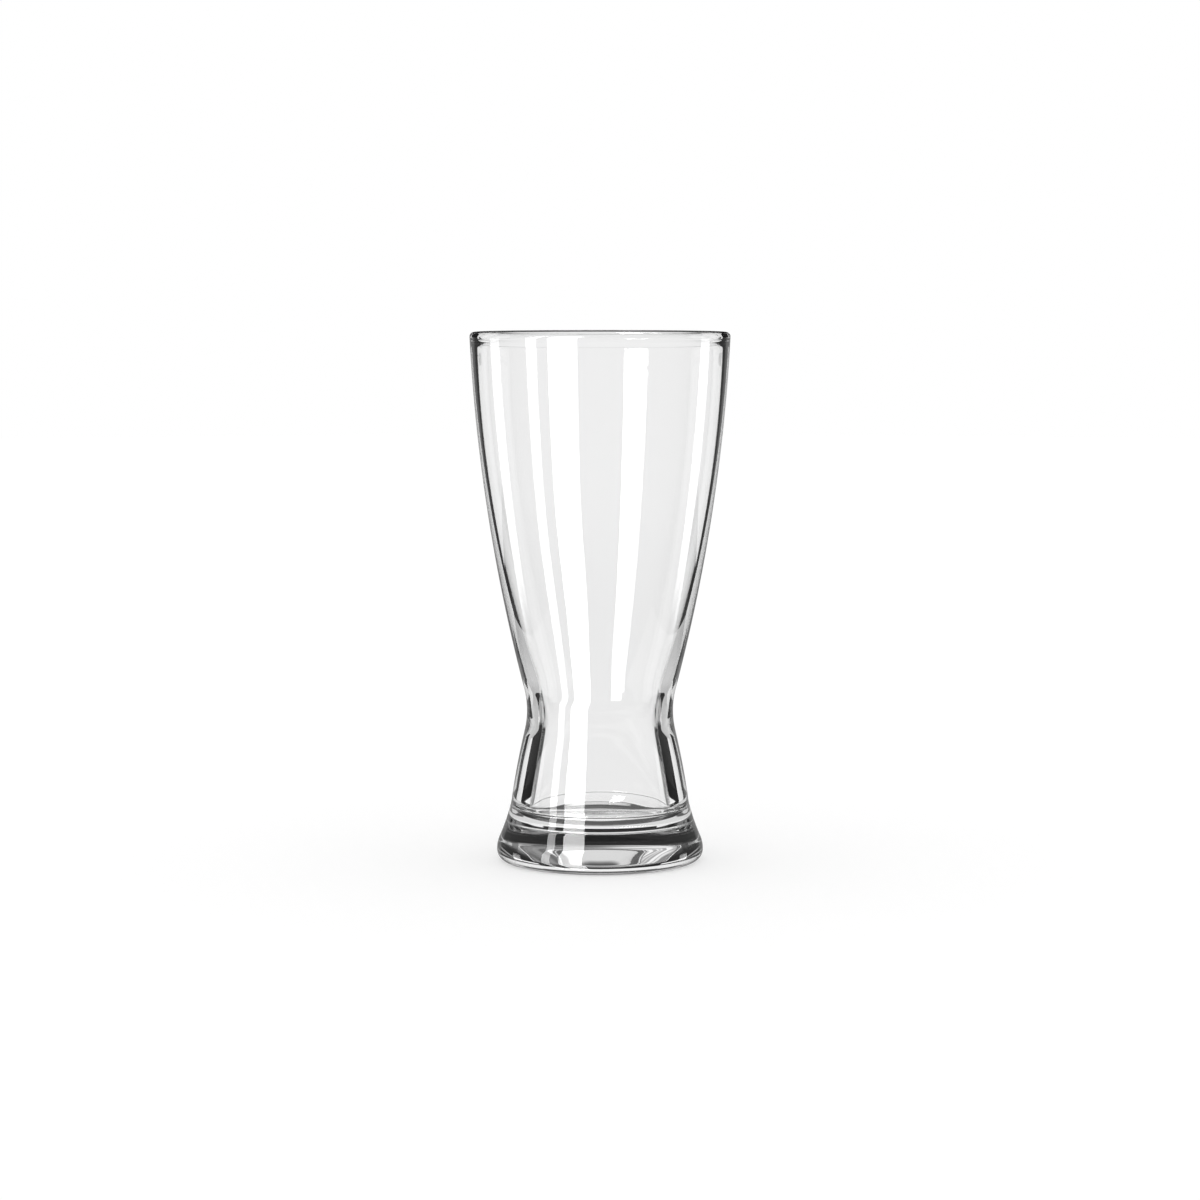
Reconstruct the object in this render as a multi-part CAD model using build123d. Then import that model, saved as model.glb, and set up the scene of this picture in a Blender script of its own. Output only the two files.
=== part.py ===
from build123d import *
import os

# An hourglass pilsner glass: one piece of clear glass, pressed and blown from a single gob.
# Millimetres, +Z up, with the origin at the middle of the plane that the glass stands on.
# Every surface is turned about the Z axis from one profile, drawn in X (radius) and Z (height).

# Overall size
glass_height = 170.0
rim_diameter = 83.2
waist_diameter = 47.0
foot_diameter = 66.5

# Rim: a rounded bead that swells inwards, with a hollow neck below it where it thins to the wall
lip_thickness = 3.2
lip_neck_round = 6.0
lip_neck_angle = 25.0

# Outside of the waist and bowl: a short arc at the waist, then one long arc up to the rim
waist_height = 48.7
waist_round = 28.0
bowl_spread_angle = 14.5

# Outside below the waist: a slightly bulging cone down to the shoulder, where the foot starts
body_spread_angle = 13.2
shoulder_diameter = 56.7
shoulder_height = 20.9

# Foot: it sweeps out from the shoulder, and its heel is rounder above than below
heel_round = 3.7
heel_crown_round = 10.0
foot_sweep_angle = 24.0

# Mould lines: two shallow grooves round the foot, below the shoulder
mould_line_round = 0.5
mould_line_depth = 0.15
mould_line_shares = (0.42, 0.74)

# Underside: a flat standing ring round a domed push-up
standing_ring_width = 2.6
push_up_height = 3.0
ring_edge_round = 0.8

# Hollow: the wall is thin in the bowl, thick at the waist and thickest over the foot
hollow_waist_diameter = 37.4
hollow_waist_height = 46.4
hollow_waist_round = 43.0
hollow_bowl_angle = 18.3
hollow_body_angle = 9.6
hollow_floor_diameter = 47.0
floor_height = 13.4
floor_corner_round = 4.5

cubic_mm_per_ml = 1000

# Directions in the plane of the profile
OUTWARD = (1, 0)
UP = (0, 1)
DOWN = (0, -1)


def lip_edges():
    """The rounded rim: its outer half, its inner half, and the neck where it joins the wall."""
    lip_round = lip_thickness / 2
    lip_outside = JernArc((rim_diameter / 2, glass_height - lip_round), UP, lip_round, 90)
    lip_inside = JernArc(lip_outside @ 1, lip_outside % 1, lip_round, 90 + lip_neck_angle)
    neck = JernArc(lip_inside @ 1, lip_inside % 1, lip_neck_round, -lip_neck_angle)
    return lip_outside, lip_inside, neck


def outer_edges(lip_outside):
    """The outside, from the standing ring up to the rim, and the foot's sweep among its edges."""
    ring_outer = foot_diameter / 2 - heel_round
    heel = JernArc((ring_outer, 0), OUTWARD, heel_round, 90)
    heel_crown = JernArc(heel @ 1, UP, heel_crown_round, foot_sweep_angle)
    shoulder = (shoulder_diameter / 2, shoulder_height)
    foot = TangentArc(heel_crown @ 1, shoulder, tangent=heel_crown % 1)
    narrowest = (waist_diameter / 2, waist_height)
    waist_below = JernArc(narrowest, DOWN, waist_round, body_spread_angle)
    waist_above = JernArc(narrowest, UP, waist_round, -bowl_spread_angle)
    body = TangentArc(waist_below @ 1, shoulder, tangent=waist_below % 1)
    bowl = TangentArc(waist_above @ 1, lip_outside @ 0, tangent=waist_above % 1)
    return [heel, heel_crown, foot, body, waist_below, waist_above, bowl], foot


def hollow_edges(neck):
    """The inside, from the rim down to the middle of the floor."""
    narrowest = (hollow_waist_diameter / 2, hollow_waist_height)
    waist_above = JernArc(narrowest, UP, hollow_waist_round, -hollow_bowl_angle)
    waist_below = JernArc(narrowest, DOWN, hollow_waist_round, hollow_body_angle)
    bowl = TangentArc(waist_above @ 1, neck @ 1, tangent=waist_above % 1)
    floor_corner = (hollow_floor_diameter / 2, floor_height)
    body = TangentArc(waist_below @ 1, floor_corner, tangent=waist_below % 1)
    floor = Line(floor_corner, (0, floor_height))
    return [bowl, waist_above, waist_below, body, floor]


def underside_edges():
    """The underside, from the middle of the push-up out to the edge of the heel."""
    ring_outer = foot_diameter / 2 - heel_round
    ring_inner = ring_outer - standing_ring_width
    push_up = TangentArc((0, push_up_height), (ring_inner, 0), tangent=OUTWARD)
    ring = Line((ring_inner, 0), (ring_outer, 0))
    return [push_up, ring]


def round_corner(profile, radius, corner):
    """The profile with the vertex nearest to a corner rounded."""
    nearest = profile.vertices().sort_by_distance(corner)[0]
    return profile.fillet_2d(radius, [nearest])


def mould_line(foot, share):
    """The small disc that cuts one mould line's groove into the profile of the foot."""
    along = foot % share
    outward = Vector(along.Y, -along.X)
    middle = foot @ share + outward * (mould_line_round - mould_line_depth)
    return Pos(middle) * Circle(mould_line_round)


def glass_profile():
    """Half of the glass cut through its axis, drawn flat: X is radius and Y is height."""
    lip_outside, lip_inside, neck = lip_edges()
    outside, foot = outer_edges(lip_outside)
    inside = hollow_edges(neck)
    axis = Line((0, floor_height), (0, push_up_height))
    profile = make_face([*outside, lip_outside, lip_inside, neck, *inside, axis, *underside_edges()]).face()
    ring_inner = foot_diameter / 2 - heel_round - standing_ring_width
    profile = round_corner(profile, floor_corner_round, Vector(hollow_floor_diameter / 2, floor_height))
    profile = round_corner(profile, ring_edge_round, Vector(ring_inner, 0))
    return profile - [mould_line(foot, share) for share in mould_line_shares]


def pilsner_glass():
    """The whole glass, as one solid."""
    return revolve(Plane.XZ * glass_profile(), Axis.Z).solid()


def capacity_ml():
    """What the hollow holds when it is full to the brim, in millilitres."""
    lip_outside, lip_inside, neck = lip_edges()
    brim = Line(lip_outside @ 1, (0, glass_height))
    axis = Line((0, glass_height), (0, floor_height))
    hollow = make_face([lip_inside, neck, *hollow_edges(neck), axis, brim]).face()
    hollow = round_corner(hollow, floor_corner_round, Vector(hollow_floor_diameter / 2, floor_height))
    return revolve(Plane.XZ * hollow, Axis.Z).volume / cubic_mm_per_ml


os.makedirs("parts", exist_ok=True)
glass = pilsner_glass()
export_step(glass, "parts/pilsner_glass.step")
print("size", glass.bounding_box().size, "volume", glass.volume, "valid", glass.is_valid)
print("capacity", capacity_ml(), "ml")
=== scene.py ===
# %% [markdown]
# # A pilsner glass in clear glass
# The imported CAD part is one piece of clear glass: a flared bowl, an hourglass waist and a heavy foot.
# This lesson opens that part as a fixed frame, turns a finer glass to the same sizes, gives it a clear
# glass finish, and stands it in a small white studio.

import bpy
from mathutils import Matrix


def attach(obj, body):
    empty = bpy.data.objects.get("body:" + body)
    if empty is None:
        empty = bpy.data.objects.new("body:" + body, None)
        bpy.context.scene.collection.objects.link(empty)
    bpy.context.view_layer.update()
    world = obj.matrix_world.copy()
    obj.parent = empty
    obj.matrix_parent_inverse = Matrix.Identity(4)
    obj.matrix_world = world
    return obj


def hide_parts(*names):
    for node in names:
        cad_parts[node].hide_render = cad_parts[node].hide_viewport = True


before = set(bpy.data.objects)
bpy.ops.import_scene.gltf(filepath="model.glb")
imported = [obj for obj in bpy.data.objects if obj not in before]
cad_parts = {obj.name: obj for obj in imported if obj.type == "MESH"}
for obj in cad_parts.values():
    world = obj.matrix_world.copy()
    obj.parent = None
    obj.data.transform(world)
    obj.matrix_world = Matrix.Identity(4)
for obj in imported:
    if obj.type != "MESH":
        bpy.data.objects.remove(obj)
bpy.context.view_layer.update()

# %% Bring in the tools
import math

import bmesh
import bpy
from mathutils import Matrix, Vector

scene = bpy.context.scene
print("tools ready")

# %% [markdown]
# ## The camera
# The picture is taken from a little above the rim, with a long lens, so that the sides hardly converge.
# Its place and lens come from the outline of the glass: the rim and the foot are ellipses, and how open
# each one looks gives the height of the camera and its distance.

# %% Set the camera
CAMERA_DISTANCE = 1.100
CAMERA_HEIGHT = 0.1871
CAMERA_PITCH = 5.347
LENS_MM = 103.23

lens = bpy.data.cameras.new("studio_camera")
lens.sensor_width = 36.0
lens.lens = LENS_MM
camera = bpy.data.objects.new("studio_camera", lens)
camera.location = (0.0, -CAMERA_DISTANCE, CAMERA_HEIGHT)
camera.rotation_euler = (math.radians(90.0 - CAMERA_PITCH), 0.0, 0.0)
scene.collection.objects.link(camera)
scene.camera = camera
scene.view_settings.view_transform = "Standard"
print("camera at", tuple(camera.location))

# %% [markdown]
# ## A pen that draws with spins
# A glass is turned on a lathe in one's mind: one outline, swept once round the axis. The outline is a
# chain of arcs, each leaving in the direction in which the last one arrived, which is why the real glass
# shows smooth highlights. The pen below keeps the tip of the line and its heading, and sweeps the tip
# round each arc's centre with the spin operator. It draws in millimetres, in the XZ plane.

# %% Make the pen
class Pen:
    """Draws one open line of edges in the XZ plane, arc by arc, from a start point."""

    def __init__(self, mesh, x, z, heading):
        self.mesh = mesh
        self.tip = self.mesh.verts.new((x, 0.0, z))
        self.heading = Vector((math.cos(math.radians(heading)), 0.0, math.sin(math.radians(heading))))

    def arc(self, angle, radius, steps):
        """Turns left by an angle in degrees, or right where it is negative."""
        side = math.copysign(1.0, angle)
        left = Vector((-self.heading.z, 0.0, self.heading.x))
        centre = self.tip.co + left * (side * radius)
        swept = bmesh.ops.spin(
            self.mesh, geom=[self.tip], cent=centre, axis=(0.0, -side, 0.0),
            angle=math.radians(abs(angle)), steps=steps, use_merge=False,
        )
        self.tip = [part for part in swept["geom_last"] if isinstance(part, bmesh.types.BMVert)][0]
        self.heading.rotate(Matrix.Rotation(math.radians(angle), 3, (0.0, -1.0, 0.0)))

    def arc_to(self, x, z, steps):
        """Leaves along the heading and ends at a point."""
        chord = Vector((x, 0.0, z)) - self.tip.co
        turn = 2.0 * math.asin((self.heading.x * chord.z - self.heading.z * chord.x) / chord.length)
        self.arc(math.degrees(turn), abs(chord.length / (2.0 * math.sin(turn / 2.0))), steps)

    def line_to(self, x, z, steps):
        """Goes straight to a point, in equal steps."""
        step = (Vector((x, 0.0, z)) - self.tip.co) / steps
        self.heading = step.normalized()
        for _ in range(steps):
            grown = bmesh.ops.extrude_vert_indiv(self.mesh, verts=[self.tip])
            self.tip = grown["verts"][0]
            bmesh.ops.translate(self.mesh, verts=[self.tip], vec=step)

    def aim(self, heading):
        """Faces another way, in degrees from +X towards +Z, which leaves a corner in the line."""
        self.heading = Vector((math.cos(math.radians(heading)), 0.0, math.sin(math.radians(heading))))


print("pen ready")

# %% [markdown]
# ## The outline of the glass
# The line starts in the middle of the push-up under the foot, runs out to the standing ring, round the
# heel, up the foot, the body, the waist and the bowl to the rim, and then down the hollow to the middle
# of its floor.

# %% Draw the outside, from the waist down and from the waist up
GLASS_HEIGHT = 170.0
RIM_RADIUS = 41.6
LIP_ROUND = 1.6
FOOT_RADIUS = 33.25
HEEL_ROUND = 3.7
WAIST = (23.5, 48.7)
WAIST_ROUND = 28.0
BOWL_TURN, BODY_TURN = 14.5, 13.2
LIP_TURN = 115.0
NECK_TURN, NECK_ROUND = 25.0, 6.0
SHOULDER = (28.35, 20.9)
UP, DOWN, OUT = 90.0, -90.0, 0.0

outline = bmesh.new()
bowl = Pen(outline, *WAIST, UP)
bowl.arc(-BOWL_TURN, WAIST_ROUND, steps=8)
bowl.arc_to(RIM_RADIUS, GLASS_HEIGHT - LIP_ROUND, steps=26)
bowl.aim(UP)
bowl.arc(90.0, LIP_ROUND, steps=14)
bowl.arc(LIP_TURN, LIP_ROUND, steps=16)
bowl.arc(-NECK_TURN, NECK_ROUND, steps=6)
neck_end = bowl.tip.co.copy()

body = Pen(outline, *WAIST, DOWN)
body.arc(BODY_TURN, WAIST_ROUND, steps=8)
body.arc_to(*SHOULDER, steps=12)
print("neck ends at", tuple(round(v, 3) for v in neck_end))

# %% [markdown]
# ## The foot and its mould lines
# Where the halves of the mould met the base, the foot has fine lines round it. A groove is three small
# arcs: in over its edge, round its bottom, and out over the other edge. The middle arc turns as far as
# the two others together, so that the pen leaves in the direction in which it came.

# %% Draw the foot
def groove(pen, depth, width):
    """Draws a soft groove across the line and leaves the pen facing the way it came."""
    turn = 2.0 * math.atan(2.0 * depth / width)
    radius = width / (4.0 * math.sin(turn))
    turn = math.degrees(turn)
    pen.arc(turn, radius, steps=3)
    pen.arc(-2.0 * turn, radius, steps=5)
    pen.arc(turn, radius, steps=3)


RING_OUTER = FOOT_RADIUS - HEEL_ROUND
RING_WIDTH = 2.6
RING_INNER = RING_OUTER - RING_WIDTH
PUSH_UP = 3.0
CROWN_TURN, CROWN_ROUND = 24.0, 10.0
FOOT_ROUND = 57.0
LOWER_TURN, UPPER_TURN = 5.4, 4.2
LINE_DEPTH, LINE_WIDTH = 0.15, 0.9
foot = Pen(outline, RING_OUTER, 0.0, OUT)
foot.arc(90.0, HEEL_ROUND, steps=20)
foot.arc(CROWN_TURN, CROWN_ROUND, steps=8)
foot.arc(-LOWER_TURN, FOOT_ROUND, steps=5)
groove(foot, LINE_DEPTH, LINE_WIDTH)
foot.arc(-UPPER_TURN, FOOT_ROUND, steps=4)
groove(foot, LINE_DEPTH, LINE_WIDTH)
foot.arc_to(*SHOULDER, steps=4)

underside = Pen(outline, 0.0, PUSH_UP, OUT)
underside.arc_to(RING_INNER, 0.0, steps=10)
underside.line_to(RING_OUTER, 0.0, steps=1)
print("foot drawn")

# %% [markdown]
# ## The hollow
# The hollow has its own outline: its waist is lower and softer than the one outside, which makes the
# wall thin in the bowl and thick at the waist, as where the real glass was pressed.

# %% Draw the hollow
HOLLOW_WAIST = (18.7, 46.4)
HOLLOW_ROUND = 43.0
HOLLOW_BOWL_TURN, HOLLOW_BODY_TURN = 18.3, 9.6
FLOOR_CORNER = (23.5, 13.4)
upper = Pen(outline, *HOLLOW_WAIST, UP)
upper.arc(-HOLLOW_BOWL_TURN, HOLLOW_ROUND, steps=8)
upper.arc_to(neck_end.x, neck_end.z, steps=24)
lower = Pen(outline, *HOLLOW_WAIST, DOWN)
lower.arc(HOLLOW_BODY_TURN, HOLLOW_ROUND, steps=6)
lower.arc_to(*FLOOR_CORNER, steps=4)
lower.line_to(0.0, FLOOR_CORNER[1], steps=3)
bmesh.ops.remove_doubles(outline, verts=outline.verts[:], dist=0.01)
ends = [v for v in outline.verts if len(v.link_edges) != 2]
print("outline of", len(outline.verts), "points, open at", [tuple(round(c, 2) for c in v.co) for v in ends])

# %% [markdown]
# ## One turn round the axis
# The spin operator sweeps the outline through a full circle. The last ring falls on the first, so it is
# merged, and each end on the axis becomes one point. The two sharp corners, at the floor of the hollow
# and at the inner edge of the standing ring, are then rounded with a bevel.

# %% Spin the glass
AROUND = 256
NEAR = 0.05
FLOOR_BEVEL, RING_BEVEL = 5.26, 0.1
METRES_PER_MM = 0.001
bmesh.ops.spin(
    outline, geom=outline.verts[:] + outline.edges[:], cent=(0.0, 0.0, 0.0), axis=(0.0, 0.0, 1.0),
    angle=math.tau, steps=AROUND, use_merge=True,
)
bmesh.ops.remove_doubles(outline, verts=outline.verts[:], dist=0.001)


def ring_edges(radius, height):
    """The edges of the ring at one radius and height."""
    def on_ring(vert):
        return abs(math.hypot(vert.co.x, vert.co.y) - radius) < NEAR and abs(vert.co.z - height) < NEAR
    return [edge for edge in outline.edges if all(on_ring(vert) for vert in edge.verts)]


for radius, height, offset, segments in ((*FLOOR_CORNER, FLOOR_BEVEL, 14), (RING_INNER, 0.0, RING_BEVEL, 3)):
    bmesh.ops.bevel(
        outline, geom=ring_edges(radius, height), offset=offset, offset_type="OFFSET",
        affect="EDGES", segments=segments, profile=0.5, material=-1,
    )
bmesh.ops.recalc_face_normals(outline, faces=outline.faces[:])
bmesh.ops.scale(outline, verts=outline.verts[:], vec=[METRES_PER_MM] * 3)
volume = outline.calc_volume()
open_edges = sum(1 for edge in outline.edges if len(edge.link_faces) != 2)
print("volume in ml", round(volume * 1e6, 3), "open edges", open_edges)

glass_mesh = bpy.data.meshes.new("clear_pilsner")
outline.to_mesh(glass_mesh)
outline.free()
glass_mesh.polygons.foreach_set("use_smooth", [True] * len(glass_mesh.polygons))
glass = bpy.data.objects.new("clear_pilsner", glass_mesh)
scene.collection.objects.link(glass)
print("triangles", sum(len(p.vertices) - 2 for p in glass_mesh.polygons))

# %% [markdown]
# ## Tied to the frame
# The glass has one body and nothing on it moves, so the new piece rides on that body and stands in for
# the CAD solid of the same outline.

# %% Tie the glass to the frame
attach(glass, "root")
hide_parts("pilsner_glass")

# %% [markdown]
# ## Shader maths in plain Python
# A node tree grows fast, and a long one is hard to read as a list of links. A wire stands for the output
# of a node and knows how to add, take away, multiply and compare, so that a mask can be written as a
# formula. A recipe holds the tree and makes any other node from its type, settings and sockets.

# %% Make the wires and the recipe
class Wire:
    """The output of a node, with arithmetic that adds Math nodes."""

    def __init__(self, recipe, socket):
        self.recipe = recipe
        self.socket = socket

    def maths(self, operation, first, second):
        return self.recipe.node("ShaderNodeMath", {"operation": operation}, {0: first, 1: second})

    def __add__(self, other):
        return self.maths("ADD", self, other)

    def __radd__(self, other):
        return self.maths("ADD", other, self)

    def __sub__(self, other):
        return self.maths("SUBTRACT", self, other)

    def __rsub__(self, other):
        return self.maths("SUBTRACT", other, self)

    def __mul__(self, other):
        return self.maths("MULTIPLY", self, other)

    def __rmul__(self, other):
        return self.maths("MULTIPLY", other, self)

    def __gt__(self, other):
        return self.maths("GREATER_THAN", self, other)

    def __lt__(self, other):
        return self.maths("LESS_THAN", self, other)

    def __abs__(self):
        return self.maths("ABSOLUTE", self, 0.0)

    def output(self, name):
        """Another output of the same node."""
        return Wire(self.recipe, self.socket.node.outputs[name])


class Recipe:
    """A node tree that is being written, from an empty sheet."""

    def __init__(self, tree):
        self.tree = tree
        self.tree.nodes.clear()

    def node(self, kind, settings=None, sockets=None, out=0):
        """Adds a node: its settings first, then a value or a wire for each named socket."""
        made = self.tree.nodes.new(kind)
        for name, value in (settings or {}).items():
            setattr(made, name, value)
        for name, value in (sockets or {}).items():
            if isinstance(value, Wire):
                self.tree.links.new(value.socket, made.inputs[name])
            else:
                made.inputs[name].default_value = value
        return Wire(self, made.outputs[out]) if len(made.outputs) else None

    def rise(self, value, low, high):
        """A soft step from 0 at low to 1 at high."""
        return self.node(
            "ShaderNodeMapRange", {"interpolation_type": "SMOOTHSTEP"},
            {"Value": value, "From Min": low, "From Max": high},
        )

    def band(self, value, low, high, soft):
        """1 between low and high, with soft ends."""
        return self.rise(value, low - soft, low + soft) * (1 - self.rise(value, high - soft, high + soft))

    def split(self, vector):
        """The three parts of a vector."""
        parts = self.node("ShaderNodeSeparateXYZ", sockets={"Vector": vector})
        return parts, parts.output("Y"), parts.output("Z")

    def distance(self, across, along):
        """How far a point is from the axis of the glass."""
        return self.node("ShaderNodeMath", {"operation": "SQRT"}, {0: across * across + along * along})

    def turn(self, across, along):
        """The angle of a direction from the second axis towards the first, in degrees."""
        angle = self.node("ShaderNodeMath", {"operation": "ARCTAN2"}, {0: across, 1: along})
        return angle * math.degrees(1.0)


def cover(under, over, mask):
    """Lays one value over another where the mask is 1."""
    return under + (over - under) * mask


print("recipe ready")

# %% [markdown]
# ## Clear pressed glass
# Soda-lime glass bends light by about 1.52 and has no colour in a wall this thin. What gives a pressed
# glass away is its surface: it chills against the mould, so it is never quite flat. The wall has faint
# upright ripples over an even unrest, the thick foot has deeper, level ones that break its reflections
# into streaks, and the standing ring is frosted by tables. A bump node takes the ripples, in thousandths
# of a millimetre, and the frosting goes to the roughness, because only the ring isn't smooth.

# %% Ripple the surface
MICRON = 1.0e-6
EVEN = (1.0, 1.0, 1.0)
UPRIGHT_HEIGHT, CHILL_HEIGHT, FLOW_HEIGHT = 7.0, 8.0, 16.0
FOOT_TOP = 0.030
FOOT_MIDDLE = 0.012

finish = bpy.data.materials.new("clear_glass")
finish.use_nodes = True
glass_mix = Recipe(finish.node_tree)
place = glass_mix.node("ShaderNodeTexCoord", out="Object")
height = glass_mix.split(place)[2]


def ripple(stretch, scale, detail):
    """Noise about nought, from -0.5 to 0.5, stretched along the axes."""
    pattern = glass_mix.node("ShaderNodeMapping", sockets={"Vector": place, "Scale": stretch})
    noise = glass_mix.node(
        "ShaderNodeTexNoise", {"noise_dimensions": "3D"},
        {"Vector": pattern, "Scale": scale, "Detail": detail},
    )
    return noise - 0.5


in_foot = 1 - glass_mix.rise(height, FOOT_MIDDLE, FOOT_TOP)
upright = ripple(stretch=(1.0, 1.0, 0.10), scale=110.0, detail=1.0) * UPRIGHT_HEIGHT
chill = ripple(stretch=EVEN, scale=55.0, detail=0.0) * CHILL_HEIGHT
flow = ripple(stretch=(1.0, 1.0, 4.0), scale=45.0, detail=1.0) * in_foot * FLOW_HEIGHT
waves = glass_mix.node(
    "ShaderNodeBump", sockets={"Strength": 1.0, "Distance": MICRON, "Height": upright + chill + flow},
)
print("ripples up to", FLOW_HEIGHT, "thousandths of a millimetre")

# %% Mix the glass
GLASS_INDEX = 1.52
FROST_FULL, FROST_FADE = 0.0001, 0.0009
FROST_ROUGHNESS = 0.28
SCUFF_SPREAD = 0.12

frost = 1 - glass_mix.rise(height, FROST_FULL, FROST_FADE)
scuffs = glass_mix.rise(ripple(stretch=EVEN, scale=900.0, detail=3.0), -SCUFF_SPREAD, SCUFF_SPREAD)
shell = glass_mix.node(
    "ShaderNodeBsdfPrincipled",
    sockets={
        "Base Color": (1.0, 1.0, 1.0, 1.0), "Transmission Weight": 1.0, "IOR": GLASS_INDEX,
        "Roughness": frost * scuffs * FROST_ROUGHNESS, "Normal": waves,
    },
)
glass_mix.node("ShaderNodeOutputMaterial", sockets={"Surface": shell})
glass_mesh.materials.append(finish)
print("glass of", len(finish.node_tree.nodes), "nodes")

# %% [markdown]
# ## How a studio shows glass
# Clear glass has no look of its own, it shows what stands round it. A picture on white needs three
# things: a white field behind, so that the thin walls read as light, dark card beside that field, so
# that the thick walls and the edges read as dark, and tall lights at the front, whose reflections run
# down the glass as white strips. A ray knows what it has been through: the light path node counts how
# often it was bent and how often it was thrown back. So the studio can be plain white for the camera
# and the floor, and show rays from the glass something else, by what each has been through. No real
# studio can do that. The tones are tuned for one camera, and from other sides the glass looks plainer.

# %% Tell the rays apart
ENOUGH_BOUNCES = 24
scene.cycles.max_bounces = ENOUGH_BOUNCES
scene.cycles.transmission_bounces = ENOUGH_BOUNCES
scene.cycles.glossy_bounces = ENOUGH_BOUNCES


def ray_kinds(recipe):
    """Masks for what a ray has been through. The counts are whole, so each is compared with a half."""
    path = recipe.node("ShaderNodeLightPath")
    bent = path.output("Transmission Depth")
    thrown = path.output("Glossy Depth")
    scattered = path.output("Diffuse Depth") > 0.5
    plain = recipe.node("ShaderNodeMath", {"operation": "MAXIMUM"}, {0: path, 1: scattered})
    direct = thrown < 0.5
    return {
        "plain": plain,
        "direct": direct,
        "thrown_off": bent < 0.5,
        "straight": (bent > 2.5) * direct,
        "edge": (bent > 1.5) * (bent < 2.5) * direct,
        "echo": (bent > 3.5) * (thrown > 0.5) * (thrown < 1.5),
        "turned": (bent < 2.5) * (thrown > 1.5),
        "spent": (bent > 2.5) * (thrown > 3.5),
        "weary": thrown > 2.5,
        "length": path.output("Ray Length"),
    }


print("bounces", scene.cycles.max_bounces)

# %% [markdown]
# ## The air of the studio
# The world is the room. For the camera and for the floor it is even and white, at a strength of 1, so
# that a colour renders as it is written. Rays that went straight through the glass find the white field,
# with a dark side left and right of it, and rays through one wall find the field alone. Other rays find
# dark card, grey wings, a grey room and a paler ceiling. What the outside of the glass throws off meets
# a faint sheen and the soft lights: a wide and a narrow one at the front left, which are tall, and a low
# slim one on either side. The wide one has an echo for rays thrown back once inside. All are given as
# angles in degrees, and tones run from 0, black, to 1, white.

# %% Choose the tones and angles of the room
FIELD_LOW, FIELD_HIGH, FIELD_STEEP = 0.96, 1.0, 0.95
CARD_DARK = 0.008
ROOM_GREY = 0.12
CEILING_GREY = 0.40
WING_GREY = 0.40
SHEEN_AHEAD, SHEEN_ASIDE = 0.36, 0.14
# A pair is where a soft edge starts and ends. A third number is how soft both ends of a band are.
WING_EDGE, WING_FOOT = (37.0, 39.0), (0.0, 2.0)
ROOM_EDGE = (63.0, 65.0)
CEILING_EDGE = (37.0, 39.0)
FIELD_EDGE, STEEP_EDGE = (-9.0, -4.0), (-20.0, -13.0)
DARK_SIDE, DARK_SIDE_UP = (27.0, 64.0, 0.7), (-14.0, 38.0, 1.0)
SHEEN_EDGE = (29.0, 35.0)
print("tones from", CARD_DARK, "to", FIELD_HIGH)

# %% Fill the world
world = bpy.data.worlds.new("studio_air")
world.use_nodes = True
scene.world = world
world.cycles.sampling_method = "NONE"
air = Recipe(world.node_tree)
side, deep, rising = air.split(air.node("ShaderNodeTexCoord", out="Generated"))
elevation = air.node("ShaderNodeMath", {"operation": "ARCSINE"}, {0: rising}) * math.degrees(1.0)
behind = abs(air.turn(side, deep))
front = air.turn(side, 0 - deep)
ray = ray_kinds(air)

wing = air.rise(behind, *WING_EDGE) * air.rise(elevation, *WING_FOOT)
room = cover(CARD_DARK, WING_GREY, wing)
room = cover(room, ROOM_GREY, air.rise(behind, *ROOM_EDGE))
room = cover(room, CEILING_GREY, air.rise(elevation, *CEILING_EDGE))
field = cover(FIELD_LOW, FIELD_HIGH, air.rise(elevation, *FIELD_EDGE))
field = cover(FIELD_STEEP, field, air.rise(elevation, *STEEP_EDGE))
dark_side = air.band(behind, *DARK_SIDE) * air.band(elevation, *DARK_SIDE_UP)
room = cover(room, field, ray["straight"] * (1 - dark_side))
room = cover(room, field, ray["edge"])
sheen = cover(SHEEN_AHEAD, SHEEN_ASIDE, air.rise(behind, *SHEEN_EDGE))
room = cover(room, sheen, ray["thrown_off"])
print("room of", len(world.node_tree.nodes), "nodes")

# %% Set the lights
WIDE_LIGHT, WIDE_POWER = (-47.0, -20.0), 12.5
NARROW_LIGHT, NARROW_POWER = (-68.5, -58.0), 7.0
SLIM_LIGHT, SLIM_POWER = (67.0, 80.0), 4.5
TALL_UP, SLIM_UP = (-60.0, 60.0, 1.0), (-19.0, -1.5, 3.0)
LIGHT_SOFT = 0.6
LEAN, LEAN_EDGE = 4.5, (-30.0, -18.0)
WIDE_ECHO, ECHO_EDGE = (-46.0, -23.4), (3.0, 4.0)

tall = air.band(elevation, *TALL_UP)
leaning = front - LEAN * (1 - air.rise(elevation, *LEAN_EDGE))
wide_light = air.band(leaning, *WIDE_LIGHT, LIGHT_SOFT) * tall * WIDE_POWER
narrow_light = air.band(leaning, *NARROW_LIGHT, LIGHT_SOFT) * tall * NARROW_POWER
slim_light = air.band(behind, *SLIM_LIGHT, LIGHT_SOFT) * air.band(elevation, *SLIM_UP) * SLIM_POWER
lights = (wide_light + narrow_light + slim_light) * ray["thrown_off"]
echo = air.band(front, *WIDE_ECHO, LIGHT_SOFT) * tall * WIDE_POWER
echo = echo * ray["echo"] * air.rise(elevation, *ECHO_EDGE)
seen = cover(room + lights + echo, 1.0, ray["plain"])
glow = air.node("ShaderNodeBackground", sockets={"Color": seen, "Strength": 1.0})
air.node("ShaderNodeOutputWorld", sockets={"Surface": glow})
print("world of", len(world.node_tree.nodes), "nodes")
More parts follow.
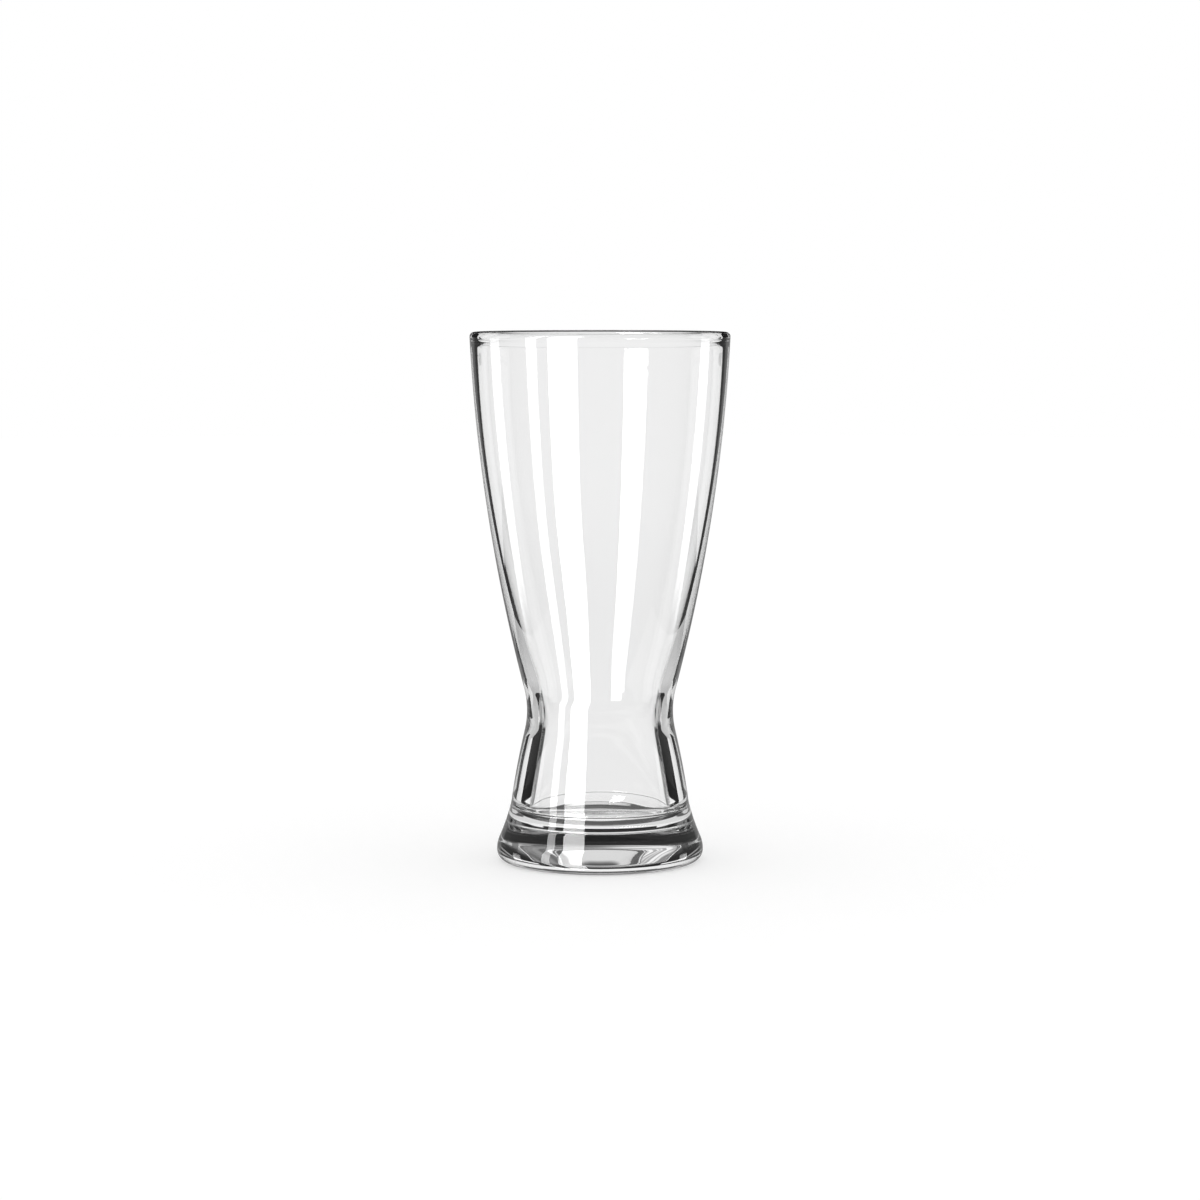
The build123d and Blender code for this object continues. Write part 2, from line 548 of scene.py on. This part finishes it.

# %% [markdown]
# ## Pieces of the studio
# The floor and the cards are flat, and only rays that have met the glass see how bright they are. Each is
# a small mesh with a glow of its own, and is clear where rays should pass.

# %% Make the helpers for studio pieces
def stage_card(name, mesh):
    """Adds a plain studio piece from a bmesh, and gives back its object and an empty recipe."""
    shape = bpy.data.meshes.new(name)
    mesh.to_mesh(shape)
    mesh.free()
    card = bpy.data.objects.new(name, shape)
    scene.collection.objects.link(card)
    card.visible_glossy = False
    card.visible_shadow = False
    paint = bpy.data.materials.new(name + "_paint")
    paint.use_nodes = True
    paint.cycles.emission_sampling = "NONE"
    shape.materials.append(paint)
    print(name, "with", len(shape.polygons), "faces")
    return card, Recipe(paint.node_tree)


def glow_for_glass(recipe, value, pass_on):
    """A glow for rays from the glass, which is clear where pass_on is 1."""
    lit = recipe.node("ShaderNodeEmission", sockets={"Color": value, "Strength": 1.0})
    clear = recipe.node("ShaderNodeBsdfTransparent")
    return recipe.node("ShaderNodeMixShader", sockets={0: pass_on, 1: lit, 2: clear})


print("studio helpers ready")

# %% [markdown]
# ## The floor
# The floor is plain white paper. The camera sees matt paper with just enough glow to reach pure white
# where nothing shades it, so it keeps the soft shadow of the glass and has no horizon. Rays that come
# out of the glass see a sheet painted as lit, which runs back under it, brighter along the middle, and
# grey in front of the glass. Rays thrown back inside find it dark on both sides, dark at its far end, and
# dimmer after three throws. Rays through one wall that have come a long way, as from the rim, find a wide
# dark band round the glass and light floor beyond it. Under the foot the sheet has a painted shadow.
# Straight rays pass through it.

# %% Choose the tones and sizes of the floor
SHARP = 0.002
SHEET_HALF = 0.150
SHEET_END = 0.200
SHEET_FRONT = (-0.062, -0.060)
SHEET_SIDE, SHEET_MIDDLE, SHEET_FADE = 0.58, 0.92, (0.050, 0.140)
FAR_HALF, FAR_EDGE = 0.072, (0.149, 0.151)
RIM_DROP = 0.190
RIM_DARK = (0.092, 0.400)
UNDER_FOOT = 0.060
UNDER_HALF_SHADE = 0.75
UNDER_SHADE = 0.10
UNDER_MIDDLE = (0.0265, 0.0285)
UNDER_LINE = (0.0387, 0.0402, 0.0002)
WEARY_SHARE = 0.35
PAPER_WHITE, PAPER_GLOW = 0.6, 0.42
print("sheet", 2.0 * SHEET_HALF, "m wide, ends", SHEET_END, "m behind the glass")

# %% Lay the floor
plate = bmesh.new()
bmesh.ops.create_circle(plate, cap_ends=True, segments=96, radius=3.0)
floor, paper = stage_card("studio_floor", plate)
floor.visible_shadow = True
across, along, _ = paper.split(paper.node("ShaderNodeTexCoord", out="Object"))
ray = ray_kinds(paper)
spread = abs(across)
reach = paper.distance(across, along)
from_rim = ray["edge"] * (ray["length"] > RIM_DROP)
not_direct = 1 - ray["direct"]

sheet = cover(SHEET_MIDDLE, SHEET_SIDE, paper.rise(spread, *SHEET_FADE))
far_end = paper.band(spread, -FAR_HALF, FAR_HALF, SHARP) * paper.rise(along, *FAR_EDGE)
sheet = cover(sheet, CARD_DARK, far_end * not_direct)
sheet = cover(sheet, FIELD_LOW, from_rim * paper.rise(reach, RIM_DARK[1], RIM_DARK[1] + SHARP))
sheet = cover(sheet, CARD_DARK, from_rim * paper.band(reach, *RIM_DARK, SHARP))
# Painted shadow under the foot: a dimmer disc, a dark middle and a thin dark ring.
sheet = cover(UNDER_HALF_SHADE, sheet, paper.rise(reach, UNDER_FOOT, UNDER_FOOT + SHARP))
sheet = cover(UNDER_SHADE, sheet, paper.rise(reach, *UNDER_MIDDLE))
sheet = cover(sheet, UNDER_SHADE, paper.band(reach, *UNDER_LINE))
sheet = sheet * cover(1.0, WEARY_SHARE, ray["weary"])
sheet = cover(sheet, CARD_DARK, paper.rise(spread, SHEET_HALF, SHEET_HALF + SHARP) * not_direct)
sheet = cover(sheet, ROOM_GREY, (1 - paper.rise(along, *SHEET_FRONT)) * (1 - from_rim))

camera_glow = paper.node("ShaderNodeLightPath") * PAPER_GLOW
matt = paper.node(
    "ShaderNodeBsdfPrincipled",
    sockets={
        "Base Color": (PAPER_WHITE, PAPER_WHITE, PAPER_WHITE, 1.0), "Roughness": 1.0,
        "Specular IOR Level": 0.0, "Emission Color": camera_glow, "Emission Strength": 1.0,
    },
)
lit_sheet = glow_for_glass(paper, sheet, ray["straight"])
surface = paper.node("ShaderNodeMixShader", sockets={0: ray["plain"], 1: lit_sheet, 2: matt})
paper.node("ShaderNodeOutputMaterial", sockets={"Surface": surface})
print("floor paint of", len(paper.tree.nodes), "nodes")

# %% [markdown]
# ## The white card
# A white card stands at the far end of the sheet, narrower at the top. The wall bands of the bowl and
# the waist show it. Its lowest strip is dark in the middle. For rays through one wall it is dark above
# that strip and lightens upwards, and for rays thrown back inside its top is dark.

# %% Stand the white card
CARD_HALF, CARD_TOP_HALF, CARD_TOP = 0.154, 0.071, 0.260
STRIP_TOP, STRIP_SIDE, STRIP_DIRECT = (0.020, 0.022), (0.070, 0.074), (0.010, 0.012)
RIM_SHADE_EDGE, TOP_SHADE_EDGE = (0.040, 0.110), (0.230, 0.240)
DIRECT_LOSS = 0.07
TIRED_SHARE = 0.05

board = bmesh.new()
bmesh.ops.create_grid(board, x_segments=1, y_segments=1, size=1.0)
for corner in board.verts:
    top = corner.co.y > 0.0
    half = CARD_TOP_HALF if top else CARD_HALF
    corner.co = (math.copysign(half, corner.co.x), SHEET_END, CARD_TOP if top else 0.0)
card, card_paint = stage_card("white_card", board)
edge_across, _, edge_height = card_paint.split(card_paint.node("ShaderNodeTexCoord", out="Object"))
ray = ray_kinds(card_paint)
above_strip = card_paint.rise(edge_height, *STRIP_TOP)
low_strip = (1 - above_strip) * (1 - card_paint.rise(abs(edge_across), *STRIP_SIDE))
low_strip = low_strip * (1 - ray["direct"] * (1 - card_paint.rise(edge_height, *STRIP_DIRECT)))
rim_shade = 1 - card_paint.rise(edge_height, *RIM_SHADE_EDGE)
top_shade = card_paint.rise(edge_height, *TOP_SHADE_EDGE) * (1 - ray["direct"])
edge_tone = (1 - ray["edge"] * above_strip * rim_shade) * (1 - top_shade)
tired = cover(1.0, TIRED_SHARE, ray["turned"] + ray["spent"])
card_tone = cover(1 - DIRECT_LOSS * ray["direct"], CARD_DARK, low_strip) * edge_tone * tired
card_glow = glow_for_glass(card_paint, card_tone, ray["straight"])
card_paint.node("ShaderNodeOutputMaterial", sockets={"Surface": card_glow})

# %% [markdown]
# ## The wing cards
# Two more cards carry the light on to the sides, with a gap between each and the white card. Each has a
# dark patch, for the corners of the rim.

# %% Stand the wing cards
WING_OUTLINE = ((0.177, 0.024), (0.900, 0.024), (0.900, 0.300), (0.192, 0.300))
WING_TONE = 0.95
PATCH_ACROSS, PATCH_UP = (0.206, 0.245, 0.002), (0.158, 0.178, 0.001)

wings = bmesh.new()
for hand in (-1.0, 1.0):
    corners = [wings.verts.new((hand * away, SHEET_END, up)) for away, up in WING_OUTLINE]
    bmesh.ops.contextual_create(wings, geom=corners)
wing_cards, wing_paint = stage_card("wing_cards", wings)
ray = ray_kinds(wing_paint)
wing_across, _, wing_height = wing_paint.split(wing_paint.node("ShaderNodeTexCoord", out="Object"))
corner_patch = wing_paint.band(abs(wing_across), *PATCH_ACROSS) * wing_paint.band(wing_height, *PATCH_UP)
wing_tone = cover(WING_TONE, CARD_DARK, corner_patch)
wing_glow = glow_for_glass(wing_paint, wing_tone, ray["straight"])
wing_paint.node("ShaderNodeOutputMaterial", sockets={"Surface": wing_glow})

# %% [markdown]
# ## The black ring, painted shade round the foot
# A flat ring lies a little above the floor round the foot. It is painted shade, black from below, clear
# from above, and clear for straight rays: the foot would be all white without it. A streaked window at
# its right rear, close to the foot, lets light in, and this is the painted light patch that the foot shows.

# %% Lay the black ring
RING_HEIGHT, RING_FROM, RING_TO = 0.020, 0.034, 0.230
RING_SHADE_BLACK = (0.02, 0.02, 0.02, 1.0)
WINDOW_SIDE, WINDOW_LEFT = (-0.0010, 0.0035), 0.3
WINDOW_REAR, WINDOW_REACH = (0.0, 0.010), (0.036, 0.062)
STREAK_STRETCH_ACROSS, STREAK_STRETCH_ALONG = 90.0, 330.0
STREAK_EDGE, STREAK_LEAST = (0.40, 0.56), 0.45
DIRECT_LEAK = 0.15

collar = bmesh.new()
bmesh.ops.create_circle(collar, segments=96, radius=RING_FROM)
bmesh.ops.create_circle(collar, segments=96, radius=RING_TO)
bmesh.ops.bridge_loops(collar, edges=collar.edges[:])
bmesh.ops.translate(collar, verts=collar.verts[:], vec=(0.0, 0.0, RING_HEIGHT))
if collar.faces[:][0].normal.z < 0.0:
    bmesh.ops.reverse_faces(collar, faces=collar.faces[:])
ring, ring_paint = stage_card("foot_shade_ring", collar)
ray = ray_kinds(ring_paint)
from_below = ring_paint.node("ShaderNodeNewGeometry", out="Backfacing")
ring_across, ring_along, _ = ring_paint.split(ring_paint.node("ShaderNodeTexCoord", out="Object"))
ring_reach = ring_paint.distance(ring_across, ring_along)
window = cover(WINDOW_LEFT, 1.0, ring_paint.rise(ring_across, *WINDOW_SIDE))
window = window * ring_paint.rise(ring_along, *WINDOW_REAR)
window = window * (1 - ring_paint.rise(ring_reach, *WINDOW_REACH))
# The streaks break up the painted light patch of the window.
streak_place = ring_paint.node(
    "ShaderNodeCombineXYZ",
    sockets={"X": ring_across * STREAK_STRETCH_ACROSS, "Y": ring_along * STREAK_STRETCH_ALONG, "Z": 0.0},
)
streaks = ring_paint.node(
    "ShaderNodeTexNoise", {"noise_dimensions": "3D"}, {"Vector": streak_place, "Scale": 1.0, "Detail": 2.0},
)
window = window * cover(STREAK_LEAST, 1.0, ring_paint.rise(streaks, *STREAK_EDGE))
# The ring paints shade on the foot from below, and its window is a painted light patch.
painted_shade = from_below * (1 - ray["straight"]) * (1 - DIRECT_LEAK * ray["direct"]) * (1 - window)
ring_glow = glow_for_glass(ring_paint, RING_SHADE_BLACK, 1 - painted_shade)
ring_paint.node("ShaderNodeOutputMaterial", sockets={"Surface": ring_glow})

# %% [markdown]
# ## The flag for the rim
# A flag is the dark cloth that keeps light off one place. This one hangs from the level of the rim up, and
# only reflections see it, so it draws the dark line that the rim has against white.

# %% Hang the flag
FLAG_HALF, FLAG_LOW, FLAG_TOP = 0.300, 0.169, 0.400
FLAG_BLACK = (0.01, 0.01, 0.01, 1.0)
FLAG_OUTLINE = ((-FLAG_HALF, FLAG_LOW), (FLAG_HALF, FLAG_LOW), (FLAG_HALF, FLAG_TOP), (-FLAG_HALF, FLAG_TOP))

flag_sheet = bmesh.new()
flag_sheet.faces.new([flag_sheet.verts.new((away, SHEET_END, up)) for away, up in FLAG_OUTLINE])
rim_flag, flag_paint = stage_card("rim_flag", flag_sheet)
flag_glow = flag_paint.node("ShaderNodeEmission", sockets={"Color": FLAG_BLACK, "Strength": 1.0})
flag_paint.node("ShaderNodeOutputMaterial", sockets={"Surface": flag_glow})

# %% Hide the helpers from the camera and the floor
rim_flag.visible_glossy = True
rim_flag.visible_transmission = False
for helper in (card, wing_cards, ring, rim_flag):
    helper.visible_camera = False
    helper.visible_diffuse = False
print("studio ready")
